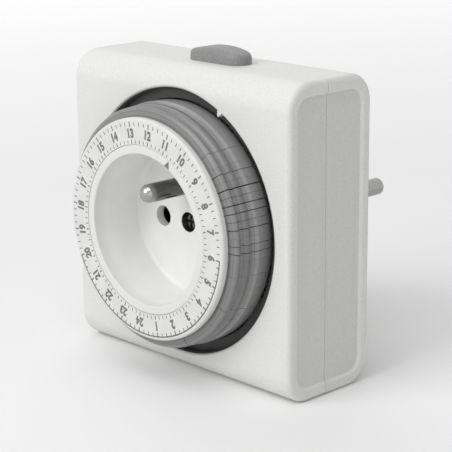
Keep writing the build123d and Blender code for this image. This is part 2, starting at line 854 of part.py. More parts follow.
# ---------------------------------------------------------------- motor
motor_seat = motor_front + motor_plate
with BuildPart() as motor_end_plate:
    with BuildSketch(across(motor_seat)):
        with Locations(motor_at):
            Circle(motor_radius)
        for place in ears_at:
            side = direction(motor_at, place) + 90
            with BuildLine():
                Polyline(
                    polar(side, ear_radius, place),
                    polar(side, ear_radius, motor_at),
                    polar(side + 180, ear_radius, motor_at),
                    polar(side + 180, ear_radius, place),
                    close=True,
                )
            make_face()
            with Locations(place):
                Circle(ear_radius)
        with Locations(*ears_at):
            Circle(motor_screw_radius + 2 * clearance_gap, mode=Mode.SUBTRACT)
        with Locations(motor_at):
            Circle(shaft_radius + axle_gap, mode=Mode.SUBTRACT)
    extrude(amount=motor_plate)

with BuildPart() as motor_case:
    add_ring(motor_back, motor_back - motor_seat, motor_radius, centre=motor_at)
    cup = motor_back - motor_plate
    drill(cup, motor_front, motor_radius - motor_plate, [motor_at])

with BuildPart() as motor_coil:
    coil_back = cup - coil_end_gap
    coil_radius = motor_radius - coil_side_gap
    coil_length = coil_back - motor_seat - coil_end_gap
    add_ring(coil_back, coil_length, coil_radius, coil_inner_radius, centre=motor_at)

# ---------------------------------------------------------------- chassis
lever_middle = (lever_left + lever_right) / 2
lever_ears = [
    (lever_left - lever_ear_gap - lever_ear, lever_left - lever_ear_gap),
    (lever_right + lever_ear_gap, lever_right + lever_ear_gap + lever_ear),
]


def near_lever(points):
    """Points given from the lever's axis, as places beside the case."""
    return [(lever_depth + depth, lever_height + height) for depth, height in points]


with BuildPart() as chassis_plate:
    with BuildSketch(across(chassis_back)):
        RectangleRounded(2 * (side_inside - chassis_play), 2 * (top_inside - chassis_play), chassis_corner)
        Circle(well_tube_radius - chassis_seat, mode=Mode.SUBTRACT)
        for x, z in corners_at:
            with Locations((x + math.copysign(3, x), z + math.copysign(3, z))):
                turn = math.copysign(45, x * z)
                notch = 2 * (corner_boss_radius + corner_notch)
                SlotCenterToCenter(6 * math.sqrt(2), notch, rotation=turn, mode=Mode.SUBTRACT)
        with Locations(*chassis_posts_at):
            Circle(chassis_screw_radius + clearance_gap, mode=Mode.SUBTRACT)
        with Locations(dial_pinion_at):
            Circle(sleeve_radius + slide_gap, mode=Mode.SUBTRACT)
        with Locations(first_at, second_at):
            Circle(axle_radius, mode=Mode.SUBTRACT)
        with Locations((switch_window_middle, top_inside - switch_window_drop)):
            Rectangle(switch_window_length, switch_window_height, mode=Mode.SUBTRACT)
        with Locations((lever_middle, lever_height - 1)):
            Rectangle(lever_right - lever_left + lever_ear_gap, lever_window_height, mode=Mode.SUBTRACT)
    extrude(amount=chassis_thickness)
    thrust_inner = bearing_radius + slide_gap
    add_ring(chassis_front, thrust_ring, thrust_inner + thrust_ring_wall, thrust_inner)
    for left, right in lever_ears:
        ear = near_lever([(-1.5, 1.4), (2.5, 1.4), (2.5, -4.5), (0.5, -4.5), (-1.5, -1.6)])
        block_from(beside(left), ear, right - left)
        with BuildSketch(beside(left)):
            with Locations((lever_depth, lever_height)):
                Circle(lever_pin_radius + lever_pin_grip)
        extrude(amount=right - left, mode=Mode.SUBTRACT)
    raise_posts(motor_front, chassis_front, ear_post_radius, ears_at)
    drill(motor_front, motor_front - motor_pilot, motor_screw_radius + pilot_gap, ears_at)
    raise_posts(bridge_front, chassis_front, post_radius, bridge_posts_at)
    raise_posts(bridge_back + peg_rise, bridge_front - peg_root, peg_radius, bridge_posts_at)

with BuildPart() as gear_bridge:
    with BuildSketch(across(bridge_back)):
        with Locations(*bridge_posts_at, second_at, dial_pinion_at):
            Circle(bridge_radius)
        make_hull()
        with Locations(*bridge_posts_at):
            Circle(peg_radius + axle_gap, mode=Mode.SUBTRACT)
        with Locations(second_at, dial_pinion_at):
            Circle(axle_radius, mode=Mode.SUBTRACT)
    extrude(amount=bridge_thickness)

# ---------------------------------------------------------------- switch
with BuildPart() as switch_lever:
    with BuildSketch(beside(lever_left)):
        with Locations((lever_depth, lever_height)):
            Circle(lever_tube_radius)
    extrude(amount=lever_right - lever_left)
    knob_arm = near_lever([(0.1, 0.6), (0.9, 2.7), (1.8, 2.7), (1.1, -0.2)])
    block_from(beside(knob_arm_left), knob_arm, knob_arm_width)
    feeler = near_lever(
        [(-0.9, 0.6), (0.9, -0.4), (-0.9, -5.2), (-1.3, -7.0), (-3.1, -7.0), (-3.1, -5.4), (-1.9, -4.0)]
    )
    block_from(beside(feeler_left), feeler, feeler_width)
    upper_side = [(0.1, 0.9), (2.5, -0.5), (5.5, -0.6), (6.2, -0.35), (6.9, -0.6)]
    lower_side = [(7.5, -1.4), (2.5, -1.8), (0.1, -1.0)]
    leaf_arm = near_lever(upper_side + lower_side)
    block_from(beside(leaf_arm_left), leaf_arm, leaf_arm_width)
    with BuildSketch(beside(lever_left)):
        with Locations((lever_depth, lever_height)):
            Circle(lever_pin_radius + axle_gap)
    extrude(amount=lever_right - lever_left, mode=Mode.SUBTRACT)

with BuildPart() as lever_pin:
    with BuildSketch(beside(lever_ears[0][0])):
        with Locations((lever_depth, lever_height)):
            Circle(lever_pin_radius)
    extrude(amount=lever_ears[1][1] - lever_ears[0][0])

with BuildPart() as override_knob:
    knob_seat = case_height / 2 + knob_seat_gap
    half_length = knob_length / 2
    stem_middle = (stem_front + stem_back) / 2
    stem_low = top_inside - 1
    with BuildSketch(above(knob_seat)):
        with Locations((knob_offset, knob_depth)):
            RectangleRounded(knob_length, knob_width, knob_corner)
    extrude(amount=knob_height)
    crown = Plane(origin=(knob_offset, front_y, dial_z + knob_seat), x_dir=(1, 0, 0), z_dir=(0, -1, 0))
    with BuildSketch(crown):
        with BuildLine():
            ThreePointArc((-half_length, knob_side), (0, knob_height), (half_length, knob_side))
            Polyline((half_length, knob_side), (half_length, 0), (-half_length, 0), (-half_length, knob_side))
        make_face()
    extrude(amount=-case_depth, mode=Mode.INTERSECT)
    fillet(faces().sort_by(Axis.Z)[-1].edges(), knob_round)
    with BuildSketch(above(stem_low)):
        with Locations((knob_offset, stem_middle)):
            Rectangle(stem_width, stem_back - stem_front)
    extrude(amount=knob_seat - stem_low + 0.5)
    with BuildSketch(above(top_inside - catch_gap - catch_thickness)):
        with Locations((knob_offset, stem_middle)):
            Rectangle(stem_width + 2 * catch_overhang, stem_back - stem_front + catch_overhang)
    extrude(amount=catch_thickness)
    cam_front = stem_front - slide_gap
    points = [
        (knob_offset - stem_width / 2, stem_back),
        (knob_offset - stem_width / 2, cam_front),
        (knob_offset + cam_flat, cam_front),
        (knob_offset + cam_reach, cam_front + cam_rise),
        (knob_offset + cam_reach, stem_back),
    ]
    block_from(above(top_inside - cam_drop), points, cam_thickness)

with BuildPart() as contact_leaf:
    with BuildSketch(above(leaf_height)):
        with Locations(((leaf_left + leaf_right) / 2, (leaf_front + leaf_back) / 2)):
            Rectangle(leaf_right - leaf_left, leaf_back - leaf_front)
    extrude(amount=leaf_thickness)
    with BuildSketch(above(leaf_height + leaf_thickness)):
        with Locations(rivet_at):
            Circle(contact_radius)
    extrude(amount=contact_height)


def add_socket_spring(side):
    """The slit sleeve that grips a plug pin behind the well floor, on the left (-1) or the right (1)."""
    centre = (side * pin_pitch / 2, 0)
    length = socket_spring_back - socket_spring_front
    add_ring(socket_spring_back, length, socket_spring_outer, socket_spring_inner, centre=centre, height=0)
    with BuildSketch(across(socket_spring_back, 0)) as outline:
        with Locations((centre[0], -socket_spring_outer)):
            Rectangle(socket_spring_slit, 2 * socket_spring_slit)
    extrude(outline.sketch, amount=length - socket_spring_root, mode=Mode.SUBTRACT)


def add_pin_tab(side, front):
    """The strip from inside the plug's cup, along the side of the pin and round its riveted end."""
    points = [
        (side * (pin_pitch / 2 - tab_half), collar_front),
        (side * (strip_x + strip), collar_front),
        (side * (strip_x + strip), front),
        (side * strip_x, front),
        (side * strip_x, collar_front - strip),
        (side * (pin_pitch / 2 - tab_half), collar_front - strip),
    ]
    level = Plane(origin=(0, front_y, -tab_half), x_dir=(1, 0, 0), z_dir=(0, 0, 1))
    block_from(level, points, 2 * tab_half)
    place = (side * pin_pitch / 2, 0)
    drill(collar_front, collar_front - strip, rivet_radius + press_gap, [place], height=0)


with BuildPart() as neutral_contact:
    add_socket_spring(-1)
    add_pin_tab(-1, neutral_tab_front)

with BuildPart() as live_input_strip:
    add_pin_tab(1, input_turn)
    input_right = strip_x + strip
    input_back = input_turn + strip
    input_top = input_low + strip + dial_rise
    with BuildSketch(across(input_back, 0)):
        with Locations((input_right - input_width / 2, (input_top - tab_half) / 2)):
            Rectangle(input_width, input_top + tab_half)
    extrude(amount=strip)
    with BuildSketch(above(input_low)):
        with Locations(((leaf_left + input_right) / 2, (leaf_front + input_back) / 2)):
            Rectangle(input_right - leaf_left, input_back - leaf_front)
    extrude(amount=strip)
    with BuildSketch(above(fixed_contact)):
        with Locations(rivet_at):
            Circle(contact_radius)
    extrude(amount=fixed_contact_height)

with BuildPart() as live_output_contact:
    add_socket_spring(1)
    clamp_low = leaf_height - strip
    points = [
        (strip_x, riser_low),
        (riser_x + strip, riser_low),
        (riser_x + strip, clamp_low),
        (leaf_right, clamp_low),
        (leaf_right, leaf_height),
        (clamp_left, leaf_height),
        (clamp_left, clamp_low),
        (riser_x, clamp_low),
        (riser_x, riser_low + strip),
        (strip_x, riser_low + strip),
    ]
    block_from(across(leaf_back), points, leaf_back - leaf_front)

# ---------------------------------------------------------------- fasteners
with BuildPart() as centre_screw:
    crown_depth = centre_seat - centre_screw_head
    points = [
        (0, crown_depth),
        (centre_screw_crown_radius, crown_depth + 0.1),
        (centre_screw_head_radius, crown_depth + 0.8),
        (centre_screw_head_radius, centre_seat),
        (centre_screw_radius, centre_seat),
        (centre_screw_radius, centre_seat + centre_screw_reach - 1),
        (0, centre_seat + centre_screw_reach),
    ]
    turned_round(points, height=0)
    for size in ((2 * cross_reach, cross_width), (cross_width, 2 * cross_reach)):
        with BuildSketch(across(crown_depth + cross_depth, 0)):
            Rectangle(*size)
        extrude(amount=cross_depth + 1, mode=Mode.SUBTRACT)

with BuildPart() as case_screws:
    size = (case_screw_head_radius, case_screw_head, case_screw_radius, case_screw_reach)
    for place in corners_at:
        add_rear_screw(place, case_screw_seat, size)

with BuildPart() as chassis_screws:
    size = (chassis_screw_head_radius, chassis_screw_head, chassis_screw_radius, chassis_screw_reach)
    for place in chassis_posts_at:
        add_rear_screw(place, chassis_back, size)

with BuildPart() as motor_screws:
    size = (motor_screw_head_radius, motor_screw_head, motor_screw_radius, motor_screw_reach)
    for place in ears_at:
        add_rear_screw(place, motor_seat, size)

pieces = {
    "front_shell": front_shell,
    "rear_shell": rear_shell,
    "plug_pins": plug_pins,
    "earth_clips": earth_clips,
    "socket_well": socket_well,
    "earth_pin": earth_pin,
    "earth_strap": earth_strap,
    "rear_earth_sleeve": rear_earth_sleeve,
    "dial_ring": dial_ring,
    "dial_gear": dial_gear,
    "dial_pinion": dial_pinion,
    "clutch_spring": clutch_spring,
    "clutch_wheel": clutch_wheel,
    "second_wheel": second_wheel,
    "first_wheel": first_wheel,
    "motor_pinion": motor_pinion,
    "axle_pins": axle_pins,
    "motor_end_plate": motor_end_plate,
    "motor_case": motor_case,
    "motor_coil": motor_coil,
    "chassis_plate": chassis_plate,
    "gear_bridge": gear_bridge,
    "switch_lever": switch_lever,
    "lever_pin": lever_pin,
    "override_knob": override_knob,
    "contact_leaf": contact_leaf,
    "live_input_strip": live_input_strip,
    "live_output_contact": live_output_contact,
    "neutral_contact": neutral_contact,
    "centre_screw": centre_screw,
    "case_screws": case_screws,
    "chassis_screws": chassis_screws,
    "motor_screws": motor_screws,
}
for name, piece in pieces.items():
    piece.part.label = name
    export_step(piece.part, f"parts/{name}.step")
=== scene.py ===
"""Plug-in timer switch: a white case, a printed dial with grey tappets round a socket, and an override slide.

Metres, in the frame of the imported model: +X is right and +Z is up for someone facing the dial, +Y points
into the wall, and the origin is the middle of the two plug pins on the face of the plug.
"""

import json
import math
import random

import bmesh
import bpy
from bpy.props import FloatProperty, FloatVectorProperty, IntProperty, PointerProperty
from mathutils import Matrix, Vector


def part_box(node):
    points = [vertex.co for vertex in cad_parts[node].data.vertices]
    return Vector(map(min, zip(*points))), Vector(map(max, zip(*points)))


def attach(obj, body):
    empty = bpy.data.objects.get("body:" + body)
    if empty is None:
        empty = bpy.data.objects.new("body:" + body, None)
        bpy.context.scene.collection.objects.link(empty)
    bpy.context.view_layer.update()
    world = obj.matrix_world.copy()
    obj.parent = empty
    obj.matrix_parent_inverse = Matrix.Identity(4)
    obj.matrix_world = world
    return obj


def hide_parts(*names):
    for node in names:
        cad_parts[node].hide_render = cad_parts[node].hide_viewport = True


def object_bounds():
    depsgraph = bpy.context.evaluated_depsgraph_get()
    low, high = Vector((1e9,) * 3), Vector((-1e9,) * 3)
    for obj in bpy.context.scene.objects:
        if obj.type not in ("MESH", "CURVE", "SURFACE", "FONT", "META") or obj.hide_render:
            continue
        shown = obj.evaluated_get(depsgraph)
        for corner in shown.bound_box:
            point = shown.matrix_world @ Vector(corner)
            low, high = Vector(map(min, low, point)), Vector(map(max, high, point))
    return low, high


bl_info = {
    "name": "Plug-in Timer Switch",
    "version": (1, 0, 0),
    "blender": (4, 5, 0),
    "location": "View3D > Sidebar > Timer Switch",
    "description": "Builds a plug-in timer switch with a printed dial and push-in tappets",
    "category": "Object",
}

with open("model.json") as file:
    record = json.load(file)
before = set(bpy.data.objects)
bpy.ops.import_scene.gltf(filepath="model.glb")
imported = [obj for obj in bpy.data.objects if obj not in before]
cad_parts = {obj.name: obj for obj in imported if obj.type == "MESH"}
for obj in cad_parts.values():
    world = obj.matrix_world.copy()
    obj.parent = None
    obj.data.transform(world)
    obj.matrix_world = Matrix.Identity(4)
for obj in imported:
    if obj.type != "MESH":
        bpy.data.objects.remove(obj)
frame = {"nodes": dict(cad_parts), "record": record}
cad_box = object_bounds()

MM = 0.001
HOURS = 24
QUARTERS = 4
TAPPETS = HOURS * QUARTERS
TURN = 2 * math.pi
SMOOTH_ANGLE = math.radians(28)
MERGE_DISTANCE = 0.001 * MM

dial_low, dial_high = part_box("dial_ring")
DIAL_FACE = dial_low.y
DIAL_HEIGHT = (dial_low.z + dial_high.z) / 2
DIAL_RADIUS = (dial_high.x - dial_low.x) / 2
TAPPET_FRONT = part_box("tappets_hour_01")[0].y
shell_low, shell_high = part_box("front_shell")
CASE_FRONT = shell_low.y
CASE_SIDE = shell_high.x

# Refractive indices
ABS_INDEX = 1.53
NYLON_INDEX = 1.53
ACETAL_INDEX = 1.48
POLYESTER_INDEX = 1.6
INK_INDEX = 1.5


# ---------------------------------------------------------------- colours and node helpers
def linear(code):
    """The linear colour, with alpha, of an sRGB hex value."""
    channels = [int(code[start : start + 2], 16) / 255 for start in (1, 3, 5)]
    return tuple(c / 12.92 if c <= 0.04045 else ((c + 0.055) / 1.055) ** 2.4 for c in channels) + (1.0,)


def add_node(tree, kind, values=None):
    """Adds a node with its attributes and inputs; an input whose value is another node's output is linked."""
    node = tree.nodes.new(kind)
    for key, value in (values or {}).items():
        if isinstance(value, bpy.types.NodeSocket):
            tree.links.new(value, node.inputs[key])
        elif isinstance(key, str) and hasattr(node, key):
            setattr(node, key, value)
        else:
            node.inputs[key].default_value = value
    return node


def start_material(name, **shader_values):
    """A material with one Principled shader; returns the material, its node tree and the shader."""
    material = bpy.data.materials.new(name)
    material.use_nodes = True
    tree = material.node_tree
    shader = tree.nodes["Principled BSDF"]
    for key, value in shader_values.items():
        shader.inputs[key.replace("_", " ")].default_value = value
    return material, tree, shader


def coordinates(tree, kind="Object"):
    """The place on a surface in metres or, for the kind Normal, the way that the surface faces."""
    return add_node(tree, "ShaderNodeTexCoord").outputs[kind]


def split(tree, vector):
    """The X, Y and Z parts of a vector."""
    return add_node(tree, "ShaderNodeSeparateXYZ", {"Vector": vector}).outputs


def maths(tree, operation, first, second=0.0):
    """The result of a Math node on two values; some operations leave the second one out."""
    return add_node(tree, "ShaderNodeMath", {"operation": operation, 0: first, 1: second}).outputs["Value"]


def length(tree, vector):
    """The length of a vector."""
    return add_node(tree, "ShaderNodeVectorMath", {"operation": "LENGTH", 0: vector}).outputs["Value"]


def rise(tree, value, start, end, bottom=0.0, top=1.0):
    """A value that goes from bottom to top while another goes from start to end."""
    spread = {"Value": value, "From Min": start, "From Max": end, "To Min": bottom, "To Max": top}
    return add_node(tree, "ShaderNodeMapRange", spread).outputs["Result"]


def mix(tree, share, first, second, blend_type="MIX"):
    """The mix of two colours, with the share of the second one."""
    # The colour sockets of a Mix node are the inputs 6 and 7 and the output 2.
    settings = {"data_type": "RGBA", "blend_type": blend_type, 0: share, 6: first, 7: second}
    return add_node(tree, "ShaderNodeMix", settings).outputs[2]


def noise(tree, vector, size, detail, roughness=0.55):
    """A noise pattern whose lumps are about one size across, in metres."""
    settings = {"Vector": vector, "Scale": 1 / size, "Detail": detail, "Roughness": roughness}
    return add_node(tree, "ShaderNodeTexNoise", settings).outputs["Fac"]


def grain(tree, size, detail=2.0, stretch=(1.0, 1.0, 1.0)):
    """A noise pattern over a surface, drawn out along the directions whose stretch is below one."""
    mapping = add_node(tree, "ShaderNodeMapping", {"Vector": coordinates(tree), "Scale": stretch})
    return noise(tree, mapping.outputs["Vector"], size, detail)


def shades(tree, pattern, dark, light, full=0.65):
    """A colour between two shades by a pattern, light from a pattern value of full upwards."""
    ramp = add_node(tree, "ShaderNodeValToRGB", {"Fac": pattern})
    stops = ramp.color_ramp.elements
    stops[0].position = 0.35
    stops[0].color = dark
    stops[1].position = full
    stops[1].color = light
    return ramp.outputs["Color"]


def paint(tree, shader, colour_output):
    """Gives a surface its colour."""
    tree.links.new(colour_output, shader.inputs["Base Color"])


def roughen(tree, shader, height, distance, strength):
    """Bumps a surface by a pattern, the distance being the height of its lumps in metres."""
    bump = add_node(tree, "ShaderNodeBump", {"Height": height, "Distance": distance, "Strength": strength})
    tree.links.new(bump.outputs["Normal"], shader.inputs["Normal"])


def vary_roughness(tree, shader, pattern, low, high):
    """Spreads the roughness between two values by a pattern."""
    tree.links.new(rise(tree, pattern, 0.0, 1.0, low, high), shader.inputs["Roughness"])


# ---------------------------------------------------------------- finishes
def grained_abs(colours):
    """White ABS from a spark-eroded mould: a fine even grain, with painted shade on the floors of the side
    panels.
    """
    material, tree, shader = start_material("ABS, spark-eroded grain", IOR=ABS_INDEX)
    # The real grain is about 0.1 mm and is drawn coarser so that it shows.
    fine = grain(tree, 0.45 * MM, detail=3.0)
    plain = shades(tree, fine, colours.case_dark, colours.case_light)
    # A panel's floor faces straight sideways and lies a little inside the side of the case.
    across = maths(tree, "ABSOLUTE", split(tree, coordinates(tree))["X"])
    sideways = maths(tree, "ABSOLUTE", split(tree, coordinates(tree, "Normal"))["X"])
    sunk = maths(tree, "LESS_THAN", across, CASE_SIDE - 0.3 * MM)
    flat = maths(tree, "GREATER_THAN", sideways, 0.97)
    # Painted shade: the sunk panel floors that face sideways are multiplied by the panel's shade colour.
    paint(tree, shader, mix(tree, maths(tree, "MULTIPLY", sunk, flat), plain, colours.case_panel, "MULTIPLY"))
    vary_roughness(tree, shader, fine, 0.46, 0.62)
    roughen(tree, shader, fine, 0.05 * MM, 0.55)
    return material


def smooth_abs(colours):
    """White ABS from a polished mould: smoother than the case, with a soft broad sheen."""
    material, tree, shader = start_material("ABS, smooth moulded", IOR=ABS_INDEX)
    cloud = grain(tree, 6 * MM)
    paint(tree, shader, shades(tree, cloud, colours.dial_dark, colours.dial_light))
    vary_roughness(tree, shader, cloud, 0.36, 0.46)
    roughen(tree, shader, grain(tree, 0.5 * MM), 0.02 * MM, 0.4)
    return material


def well_abs(colours):
    """White ABS of the socket well: the dial's white at the rim, and whiter below as painted light on the
    floor that the rim shades.
    """
    material, tree, shader = start_material("ABS, white, polished", IOR=ABS_INDEX)
    cloud = grain(tree, 8 * MM)
    inside = shades(tree, cloud, colours.well_dark, colours.well_light)
    # Painted light: from the rim inwards the colour turns whiter, to brighten the deep floor.
    depth = rise(tree, split(tree, coordinates(tree))["Y"], DIAL_FACE + 0.6 * MM, DIAL_FACE + 4 * MM)
    paint(tree, shader, mix(tree, depth, colours.dial_light, inside))
    vary_roughness(tree, shader, cloud, 0.36, 0.46)
    roughen(tree, shader, grain(tree, 0.5 * MM), 0.02 * MM, 0.4)
    return material


def tappet_abs(colours):
    """Grey ABS of the tappets: faint flow lines run round them, and painted light makes them paler behind the
    second rib.
    """
    material, tree, shader = start_material("ABS, grey, flow lines", IOR=ABS_INDEX)
    centred = add_node(
        tree, "ShaderNodeMapping", {"Vector": coordinates(tree), "Location": (0, 0, -DIAL_HEIGHT)}
    )
    parts = split(tree, centred.outputs["Vector"])
    across = add_node(tree, "ShaderNodeCombineXYZ", {"X": parts["X"], "Z": parts["Z"]})
    radius = length(tree, across.outputs["Vector"])
    section = add_node(tree, "ShaderNodeCombineXYZ", {"X": radius, "Y": parts["Y"]})
    # Flow lines about 0.4 mm apart, on tappets that differ a little in shade
    lines = noise(tree, section.outputs["Vector"], 0.4 * MM, 3.0, 0.6)
    island = add_node(tree, "ShaderNodeNewGeometry").outputs["Random Per Island"]
    differing = add_node(tree, "ShaderNodeMath", {"operation": "MULTIPLY_ADD", 0: island, 1: 0.06, 2: lines})
    plain = shades(tree, differing.outputs["Value"], colours.tappet_dark, colours.tappet_light, 0.8)
    # Painted light: behind the second rib, where the opening's edge shades the tappets, they are painted
    # paler.
    painted_light_tread = rise(tree, parts["Y"], TAPPET_FRONT + 6.2 * MM, TAPPET_FRONT + 7.4 * MM, top=0.6)
    paint(tree, shader, mix(tree, painted_light_tread, plain, colours.tappet_tread))
    vary_roughness(tree, shader, lines, 0.24, 0.36)
    roughen(tree, shader, lines, 0.04 * MM, 0.6)
    return material


def knob_abs(colours):
    """Grey ABS of the override slide: a fine grain, rubbed a little smoother than the case."""
    material, tree, shader = start_material("ABS, grey, fine grain", IOR=ABS_INDEX)
    fine = grain(tree, 0.45 * MM, detail=3.0)
    paint(tree, shader, shades(tree, fine, colours.knob_dark, colours.knob_light))
    vary_roughness(tree, shader, fine, 0.4, 0.52)
    roughen(tree, shader, fine, 0.04 * MM, 0.5)
    return material


def collar_abs(colours):
    """Dark grey ABS of the collar in the opening, dark as painted shade in the gap round the tappets: matt,
    with the marks of turning round its bore.
    """
    material, tree, shader = start_material("ABS, dark, matt", IOR=ABS_INDEX)
    turning = grain(tree, 0.5 * MM, stretch=(0.05, 1.0, 0.05))
    paint(tree, shader, shades(tree, turning, colours.collar_dark, colours.collar_light))
    vary_roughness(tree, shader, turning, 0.55, 0.7)
    return material


def pad_ink(colours):
    """Pad-printed grey ink: flat and matt, a little thin in places."""
    material, tree, shader = start_material("Pad-printed ink", IOR=INK_INDEX, Roughness=0.6)
    thin = grain(tree, 0.5 * MM)
    paint(tree, shader, shades(tree, thin, colours.ink_dark, colours.ink_light))
    return material


def polished_nickel(colours):
    """Nickel plate on turned brass: a bright mirror with hair-fine turning lines."""
    material, tree, shader = start_material("Nickel-plated brass", Metallic=1.0)
    # Turning lines run round the pins, 0.2 mm apart along them.
    lines = grain(tree, 0.2 * MM, detail=1.0, stretch=(0.05, 1.0, 0.05))
    paint(tree, shader, shades(tree, lines, colours.nickel_dark, colours.nickel_light))
    vary_roughness(tree, shader, lines, 0.16, 0.2)
    return material


def worn_nickel(colours):
    """Nickel plate on the earth pin: bright nickel at the nose, and a smoky grey shank that is a painted dark
    reflection.
    """
    material, tree, shader = start_material("Nickel-plated brass, painted reflection", Metallic=1.0)
    # Scuffs run along the pin, 0.25 mm apart round it.
    scuffs = grain(tree, 0.25 * MM, detail=1.0, stretch=(1.0, 0.06, 1.0))
    dark_reflection = shades(tree, scuffs, colours.worn_dark, colours.worn_light)
    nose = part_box("earth_pin")[0].y
    # Painted reflection: behind the nose the shank is painted darker, for the dark things that it mirrors.
    painted_dark_shank = rise(tree, split(tree, coordinates(tree))["Y"], nose + 1.8 * MM, nose + 3.2 * MM)
    paint(tree, shader, mix(tree, painted_dark_shank, colours.nickel_light, dark_reflection))
    vary_roughness(tree, shader, scuffs, 0.09, 0.15)
    return material


def black_zinc(colours):
    """Zinc-plated steel on the well's screw and eyelet, dark as painted shade of the screw's recess: a dark
    satin grey, paler in cloudy patches.
    """
    material, tree, shader = start_material("Zinc-plated steel, painted shade", Metallic=1.0)
    cloud = grain(tree, 0.8 * MM, detail=3.0)
    paint(tree, shader, shades(tree, cloud, colours.black_zinc_dark, colours.black_zinc_light))
    vary_roughness(tree, shader, cloud, 0.28, 0.4)
    return material


def zinc_steel(colours):
    """Zinc-plated steel: bluish grey, satin, faintly cloudy from the bath."""
    material, tree, shader = start_material("Zinc-plated steel", Metallic=1.0)
    cloud = grain(tree, 1.5 * MM, detail=4.0)
    paint(tree, shader, shades(tree, cloud, colours.zinc_dark, colours.zinc_light))
    vary_roughness(tree, shader, cloud, 0.25, 0.42)
    return material


def spring_brass(colours):
    """Stamped spring brass: yellow, rolled one way, so that its sheen is streaked."""
    material, tree, shader = start_material("Spring brass, rolled", Metallic=1.0)
    rolled = grain(tree, 0.3 * MM, stretch=(1.0, 1.0, 0.08))
    paint(tree, shader, shades(tree, rolled, colours.brass_dark, colours.brass_light))
    vary_roughness(tree, shader, rolled, 0.22, 0.38)
    return material


def natural_acetal(colours):
    """Natural acetal of the gears: milky, waxy and a little translucent."""
    material, tree, shader = start_material("Acetal, natural", IOR=ACETAL_INDEX, Subsurface_Weight=0.15)
    shader.inputs["Subsurface Radius"].default_value = (1 * MM, 0.9 * MM, 0.8 * MM)
    cloud = grain(tree, 3 * MM)
    paint(tree, shader, shades(tree, cloud, colours.acetal_dark, colours.acetal_light))
    vary_roughness(tree, shader, cloud, 0.3, 0.4)
    return material


def filled_nylon(colours):
    """Glass-filled nylon of the chassis: mid grey, dull, with short fibres showing as paler flecks."""
    material, tree, shader = start_material("Nylon, glass-filled", IOR=NYLON_INDEX)
    fibre = grain(tree, 0.3 * MM, detail=4.0, stretch=(0.3, 1.0, 1.0))
    paint(tree, shader, shades(tree, fibre, colours.nylon_dark, colours.nylon_light))
    vary_roughness(tree, shader, fibre, 0.55, 0.7)
    return material


def coil_tape(colours):
    """Polyester tape over the motor coil: amber, smooth, wound in narrow turns."""
    material, tree, shader = start_material("Polyester tape, amber", IOR=POLYESTER_INDEX)
    turns = grain(tree, 2.0 * MM, detail=1.0, stretch=(0.1, 1.0, 0.1))
    paint(tree, shader, shades(tree, turns, colours.tape_dark, colours.tape_light))
    vary_roughness(tree, shader, turns, 0.18, 0.3)
    return material


FINISHES = {
    "case_white": grained_abs,
    "dial_white": smooth_abs,
    "well_white": well_abs,
    "tappet_grey": tappet_abs,
    "knob_grey": knob_abs,
    "natural_acetal": natural_acetal,
    "chassis_grey": filled_nylon,
    "collar": collar_abs,
    "bright_nickel": polished_nickel,
    "worn_nickel": worn_nickel,
    "black_zinc": black_zinc,
    "spring_brass": spring_brass,
    "zinc_steel": zinc_steel,
    "coil_wrap": coil_tape,
    "ink": pad_ink,
}
made_finishes = {}


def finish_of(slot):
    """The material of a slot, made once."""
    if slot not in made_finishes:
        made_finishes[slot] = FINISHES[slot](bpy.context.scene.timer_colours)
    return made_finishes[slot]


# ---------------------------------------------------------------- mesh helpers
def node_slot(node):
    """The record's material slot of a CAD node."""
    return next(part["material_slot"] for part in frame["record"]["subparts"] if part["node"] == node)


def node_body(node):
    """The body that a CAD node belongs to."""
    return next(body for body, nodes in frame["record"]["behaviour"]["bodies"].items() if node in nodes)


def place_piece(name, shape, slot, body, finish=None):
    """Turns a bmesh into a finished piece that rides on a body, with its sharp edges kept."""
    mesh = bpy.data.meshes.new(name)
    for edge in shape.edges:
        edge.smooth = len(edge.link_faces) == 2 and edge.calc_face_angle(0.0) < SMOOTH_ANGLE
    for face in shape.faces:
        face.smooth = True
    shape.to_mesh(mesh)
    shape.free()
    piece = bpy.data.objects.new(name, mesh)
    bpy.context.scene.collection.objects.link(piece)
    piece.data.materials.append(finish_of(finish or slot))
    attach(piece, body)
    return piece


def smoothed(node, name, finish=None):
    """A merged and smoothly shaded stand-in for a CAD node, in the same place."""
    shape = bmesh.new()
    shape.from_mesh(frame["nodes"][node].data)
    bmesh.ops.remove_doubles(shape, verts=shape.verts, dist=MERGE_DISTANCE)
    piece = place_piece(name, shape, node_slot(node), node_body(node), finish)
    # Flat faces keep their own direction, so that only the rounded edges shade softly.
    normals = piece.modifiers.new("flat faces", "WEIGHTED_NORMAL")
    normals.keep_sharp = True
    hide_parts(node)
    return piece


def on_dial(angle, radius):
    """The turn about the dial's axis, clockwise from the top, after a move outwards along Z."""
    centre = Matrix.Translation((0, 0, DIAL_HEIGHT))
    return centre @ Matrix.Rotation(angle, 4, "Y") @ Matrix.Translation((0, 0, radius))


def hour_angle(hour):
    """Where an hour stands on the dial, in radians clockwise from the top."""
    sizes = bpy.context.scene.timer_sizes
    return sizes.hour_12_angle + (12 - hour) * TURN / HOURS


def spun_ring(section, height, steps):
    """A closed ring about a level axis; its section is radii in millimetres, each with a place along Y."""
    shape = bmesh.new()
    corners = [shape.verts.new((0, place, radius * MM)) for radius, place in section]
    edges = [shape.edges.new((first, second)) for first, second in zip(corners, corners[1:] + corners[:1])]
    bmesh.ops.spin(
        shape, geom=corners + edges, cent=(0, 0, 0), axis=(0, 1, 0), angle=TURN, steps=steps, use_merge=True
    )
    bmesh.ops.translate(shape, vec=(0, 0, height), verts=shape.verts)
    bmesh.ops.recalc_face_normals(shape, faces=shape.faces)
    return shape


